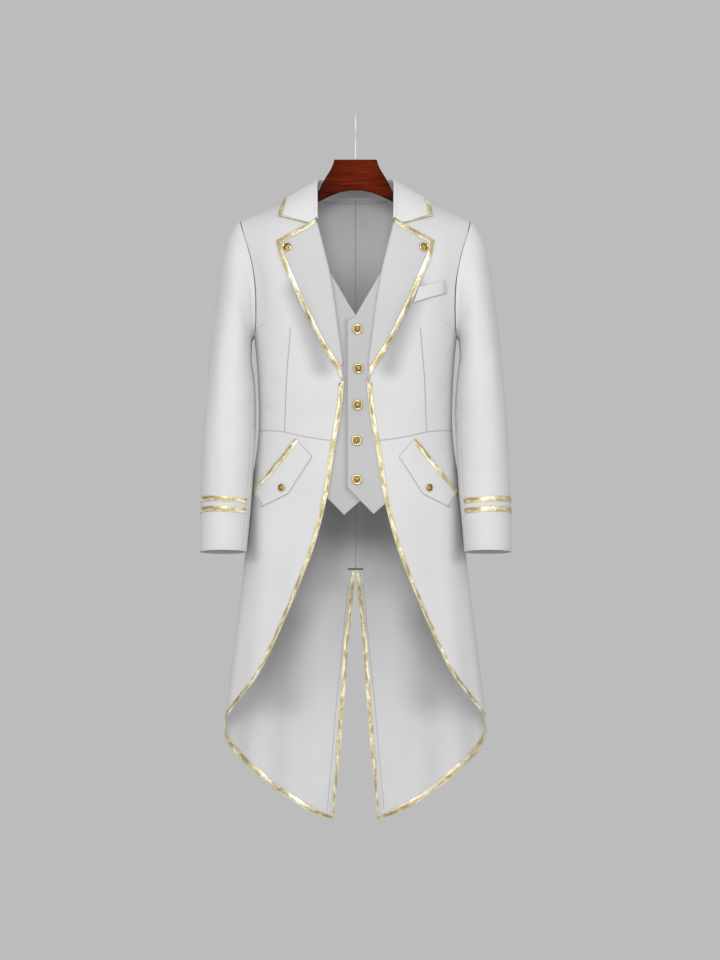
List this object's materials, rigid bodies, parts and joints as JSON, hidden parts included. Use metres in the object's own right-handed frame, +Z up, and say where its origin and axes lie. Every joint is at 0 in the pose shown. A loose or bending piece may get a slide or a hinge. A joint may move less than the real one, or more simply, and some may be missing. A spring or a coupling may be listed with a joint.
{
  "type": "tailcoat on hanger",
  "caption": "Cutaway Victorian tailcoat in pale twill with gold ribbon edges, notched lapels and a sewn-in mock waistcoat, hung on a wooden hanger with a steel hook.",
  "frame": {"origin": "the inside top of the hook's bend, where the hanger rests on its rail", "axes": "+Z up along the hanging coat; the coat's front faces -Y; +X is the viewer's right and the wearer's left"},
  "size_m": [0.5566, 0.229, 1.2842],
  "materials": {
    "twill": "smooth woven twill, grey-white, nearly matt",
    "gold_ribbon": "flat ribbon with a bright gold foil face",
    "button_gold": "polished gold-coloured metal",
    "hanger_wood": "dark mahogany stain under clear varnish",
    "hook_steel": "bright plated wire"
  },
  "bodies": {
    "root": {"back_left": "twill", "back_right": "twill", "front_left": "twill", "front_right": "twill", "skirt_left": "twill", "skirt_right": "twill", "lapel_left": "twill", "lapel_right": "twill", "sleeve_top_left": "twill", "sleeve_top_right": "twill", "sleeve_under_left": "twill", "sleeve_under_right": "twill", "flap_left": "twill", "flap_right": "twill", "collar": "twill", "breast_welt": "twill", "waistcoat_left": "twill", "waistcoat_right": "twill", "lapel_ribbon_left": "gold_ribbon", "lapel_ribbon_right": "gold_ribbon", "front_ribbon_left": "gold_ribbon", "front_ribbon_right": "gold_ribbon", "vent_ribbon_left": "gold_ribbon", "vent_ribbon_right": "gold_ribbon", "flap_stripe_left": "gold_ribbon", "flap_stripe_right": "gold_ribbon", "cuff_stripe_1_left": "gold_ribbon", "cuff_stripe_1_right": "gold_ribbon", "cuff_stripe_2_left": "gold_ribbon", "cuff_stripe_2_right": "gold_ribbon", "collar_ribbon": "gold_ribbon", "flap_button_left": "button_gold", "flap_button_right": "button_gold", "lapel_button_left": "button_gold", "lapel_button_right": "button_gold", "waistcoat_button_1": "button_gold", "waistcoat_button_2": "button_gold", "waistcoat_button_3": "button_gold", "waistcoat_button_4": "button_gold", "waistcoat_button_5": "button_gold", "hanger_bar": "hanger_wood", "hook": "hook_steel"}
  },
  "joints": []
}
